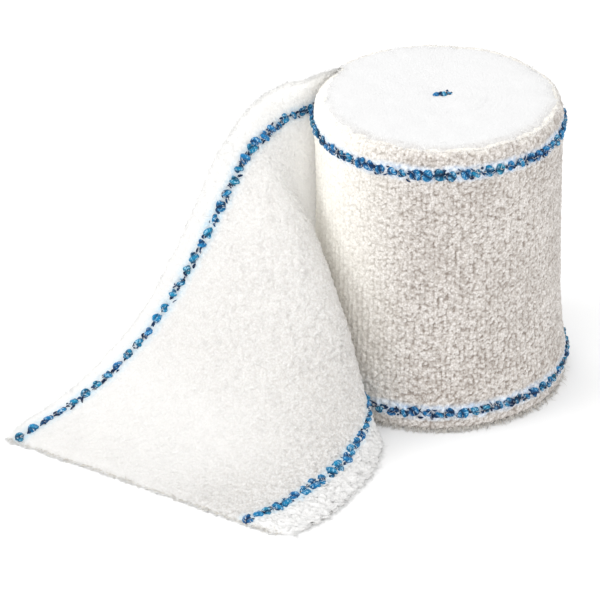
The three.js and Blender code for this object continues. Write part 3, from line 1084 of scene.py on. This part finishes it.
def fibres(draw, at, way, spread, long, thick):
    """Thin curling fibres that start at the given points and leave them roughly along way."""
    count = len(at)
    way = unit(way + spread * draw.normal(0, 1, (count, 3)))
    s = np.linspace(0, 1, FIBRE_RINGS)
    curl, sway = unit(draw.normal(0, 1, (count, 3))), unit(draw.normal(0, 1, (count, 3)))
    long = long * draw.uniform(0.4, 1.0, count) ** 1.3
    path = (way[:, None] * column(s) + 0.45 * curl[:, None] * column(s ** 2)
            + 0.22 * sway[:, None] * column(np.sin(np.pi * 1.3 * s)))
    centre = at[:, None] + long[:, None, None] * path
    side_a = unit(np.cross(way, curl))
    side_b = np.cross(way, side_a)
    width = thick * column(1 - 0.75 * s) * draw.uniform(0.7, 1.3, count)[:, None, None]
    return tubes(centre, side_a[:, None] * width, side_b[:, None] * width, FIBRE_SIDES)


def over_fibres(draw, at, out, along):
    """Wisps of cotton over a line of stitches."""
    at, out, along = (np.repeat(a, WISPS, axis=0) for a in (at, out, along))
    beside = np.cross(out, along)
    count = len(at)
    start = at + along * column(draw.uniform(-2, 2, count)) + beside * column(draw.uniform(-1.5, 1.5, count))
    start = start + out * column(draw.uniform(0.3, 1.1, count))
    way = beside * column(draw.choice([-1.0, 1.0], count)) + 0.15 * out
    return fibres(draw, start, way, *OVER_YARN)


def make_fibres(name, parts, material, **layers):
    """One piece from lots of fibres, none of them below the surface."""
    points, faces = join(parts)
    points[:, 2] = np.maximum(points[:, 2], FIBRE_FLOOR)
    piece = make_piece(name, points, faces, material, **layers)
    return piece


def roll_surface(draw, count, low, high):
    """Random places between two heights on the wall, their outward directions and shares of a turn."""
    turns = draw.uniform(0, 1, count)
    z = draw.uniform(low, high, count)
    angle = LEAVE_ANGLE + 360 * turns
    return polar(angle, spiral_radius(angle, z, turns) - 0.1, z), polar(angle, 1.0, 0.0), turns


def build_roll_fibres():
    """Fuzz on the wall, the rim and the crown of the roll, and over its lines of yarn."""
    draw = np.random.default_rng(201)
    count, *kind = WALL_FIBRES
    at, out, _ = roll_surface(draw, count, 1.0, 98.0)
    parts = [fibres(draw, at, out, *kind)]
    count, *kind = RIM_FIBRES
    at, out, _ = roll_surface(draw, count, 99.0, 100.0)
    at = at - out * column(draw.uniform(0, RIM_DEPTH, count)) + UP * 0.4
    parts.append(fibres(draw, at, 0.5 * out + UP, *kind))
    count, *kind = CROWN_FIBRES
    radius = CROWN_REACH * np.sqrt(draw.uniform(0, 1, count))
    angle = draw.uniform(0, 360, count)
    parts.append(fibres(draw, polar(angle, radius, BAND + 0.6), np.tile(0.4 * UP, (count, 1)), *kind))
    for _, z, from_angle, *_ in ROLL_CHAINS:
        parts.append(over_fibres(draw, *roll_places(z, from_angle)))
    make_fibres("roll_fibres", parts, FLUFF)


def thread_ends(name, draw, at, way, kind, tones, soft):
    """Short ends of thread in the shaded copy of the cotton, some darker than others: painted shade among the
    threads.
    """
    parts = [fibres(draw, at, way, *kind)]
    relief = np.repeat(draw.uniform(*tones, len(at)), FIBRE_RINGS * FIBRE_SIDES)
    return make_fibres(name, parts, COTTON, relief=relief, soft=soft + 0 * relief)


def build_foot_fringe():
    """Thread ends that hang from the roll's lower selvage, most of them at the front."""
    draw = np.random.default_rng(203)
    count, *kind = FOOT_THREADS
    at, out, turns = roll_surface(draw, count, 0.9, 2.0)
    kept = draw.random(count) < np.interp(turns, FRINGE_TURNS, FRINGE_SHARES)
    # The fringe's grey is painted shade between the strands at the foot of the roll
    thread_ends("roll_foot_fringe", draw, at[kept], 0.3 * out[kept] - UP, kind, (0.3, 1.1), 0.3)


def build_cut_threads():
    """Thread ends along the cut edge of the loose end."""
    draw = np.random.default_rng(204)
    count, *kind = CUT_THREADS
    across = draw.uniform(0.02, 0.98, count)
    middle, out, along = sheet_frame(cut_line(across) - 0.02, across)
    at = laid_down(middle, 0) + out * column(draw.uniform(-0.2, 0.7, count))
    return thread_ends("loose_end_threads", draw, at, along, kind, (0.1, 1.1), 0.5)


def selvage_fibres(draw, side, selvage):
    """Fuzz past a selvage of the loose end; side is 0 at the lower one and 1 at the upper."""
    count, *kind = SELVAGE_FIBRES
    row = draw.uniform(0.1, ROWS - 0.1, count)
    middle, out, along = sheet_frame(row, side + selvage(row))
    away = np.cross(along, out)
    outward = np.sum(away * (middle - sheet_middle(row, 0 * row + 0.5)), axis=1) > 0
    away = np.where(column(outward), away, -away)
    start = middle - away * column(draw.uniform(0, 1.5, count)) + out * column(draw.uniform(-0.5, 0.5, count))
    return fibres(draw, start, away, *kind)


def build_end_fibres():
    """Fuzz on the selvages, the cut edge and both faces of the loose end, and over its inner yarn."""
    draw = np.random.default_rng(202)
    parts = [selvage_fibres(draw, 0.0, lower_selvage), selvage_fibres(draw, 1.0, upper_selvage)]
    count, *kind = CUT_FIBRES
    across = draw.uniform(0.01, 0.99, count)
    middle, out, along = sheet_frame(cut_line(across), across)
    parts.append(fibres(draw, laid_down(middle, 0) - along * 0.4, along, *kind))
    count, *kind = FACE_FIBRES
    row, across = draw.uniform(0.5, ROWS - 0.2, count), draw.uniform(0.02, 0.98, count)
    middle, out, along = sheet_frame(row, across)
    out = out * column(np.where(draw.random(count) < 0.6, 1.0, -1.0))
    parts.append(fibres(draw, middle + out * 0.5, out, *kind))
    for _, selvage, face, rows, *_ in END_CHAINS:
        if face == 1:
            parts.append(over_fibres(draw, *end_places(selvage, face, rows)))
    return make_fibres("loose_end_fibres", parts, FLUFF)


# Floor, light and camera, in metres

FLOOR = ((-3, -3, 0), (3, -3, 0), (3, 3, 0), (-3, 3, 0))
FLOOR_TONE = (0.80, 0.80, 0.80)
FLOOR_GLOW = (0.97, 0.985, 1.0)
FLOOR_POWER = 0.12
SKY_STRENGTH = 0.94
BOUNCES = 8

# Soft lights that face the middle of the object: name, place, power and colour
OBJECT_MIDDLE = (-0.03, -0.02, 0.04)
LIGHT_SIZE = 1.0
LIGHTS = (
    ("key", (-1.4, -0.35, 1.1), 12, (1, 1, 1)),
    ("front", (-0.3, -1.6, 0.8), 8, (1, 0.99, 0.97)),
    ("fill", (1.2, -1.0, 0.9), 6, (1, 1, 1)),
    ("back", (-0.7, 1.5, 0.8), 7, (1, 1, 0.99)),
)

# Camera: the point it looks at, its distance and its elevation in degrees, and its focal length in pixels
CAMERA_AIM = (-0.0449, 0.0, 0.0252)
CAMERA_DISTANCE = 1.4
CAMERA_ELEVATION = 29.0
FOCAL_PIXELS = 4204
FRAME_PIXELS = 600
SENSOR = 36.0
CLIP = (0.05, 20)


def build_floor():
    mesh = bpy.data.meshes.new("floor")
    mesh.from_pydata(FLOOR, [], [(0, 1, 2, 3)])
    material, tree, shader = new_material("floor_white", FLOOR_TONE, 0.9, 0.0)
    fill(tree, shader, {"Emission Color": (*FLOOR_GLOW, 1), "Emission Strength": FLOOR_POWER})
    mesh.materials.append(material)
    floor = add_object("floor", mesh)


def area_light(name, place, power, colour):
    data = bpy.data.lights.new(name, "AREA")
    data.shape = "SQUARE"
    data.size = LIGHT_SIZE
    data.energy, data.color = power, colour
    light = add_object(name, data)
    light.location = place
    light.rotation_euler = (Vector(OBJECT_MIDDLE) - Vector(place)).to_track_quat("-Z", "Y").to_euler()


def build_light():
    world = bpy.data.worlds.new("studio")
    world.use_nodes = True
    tree = world.node_tree
    fill(tree, tree.nodes["Background"], {"Color": (1, 1, 1, 1), "Strength": SKY_STRENGTH})
    bpy.context.scene.world = world
    for light in LIGHTS:
        area_light(*light)
    bpy.context.scene.view_settings.view_transform = "Standard"
    bpy.context.scene.cycles.diffuse_bounces = BOUNCES


def build_camera():
    data = bpy.data.cameras.new("camera")
    data.sensor_width = SENSOR
    data.lens = FOCAL_PIXELS / FRAME_PIXELS * SENSOR
    data.clip_start, data.clip_end = CLIP
    camera = add_object("camera", data)
    rise = math.radians(CAMERA_ELEVATION)
    back = Vector((0, -math.cos(rise), math.sin(rise)))
    camera.location = Vector(CAMERA_AIM) + CAMERA_DISTANCE * back
    camera.rotation_euler = (-back).to_track_quat("-Z", "Y").to_euler()
    bpy.context.scene.camera = camera


build_camera()
build_floor()
build_light()
build_wall("roll_wall_front", 0.0, WALL_SPLIT)
build_wall("roll_wall_back", WALL_SPLIT, 1.0)
build_crown()
build_foot()
loose_end = build_loose_end()
end_chains = build_stitches()
build_roll_fibres()
build_foot_fringe()
end_fibres = build_end_fibres()
end_threads = build_cut_threads()
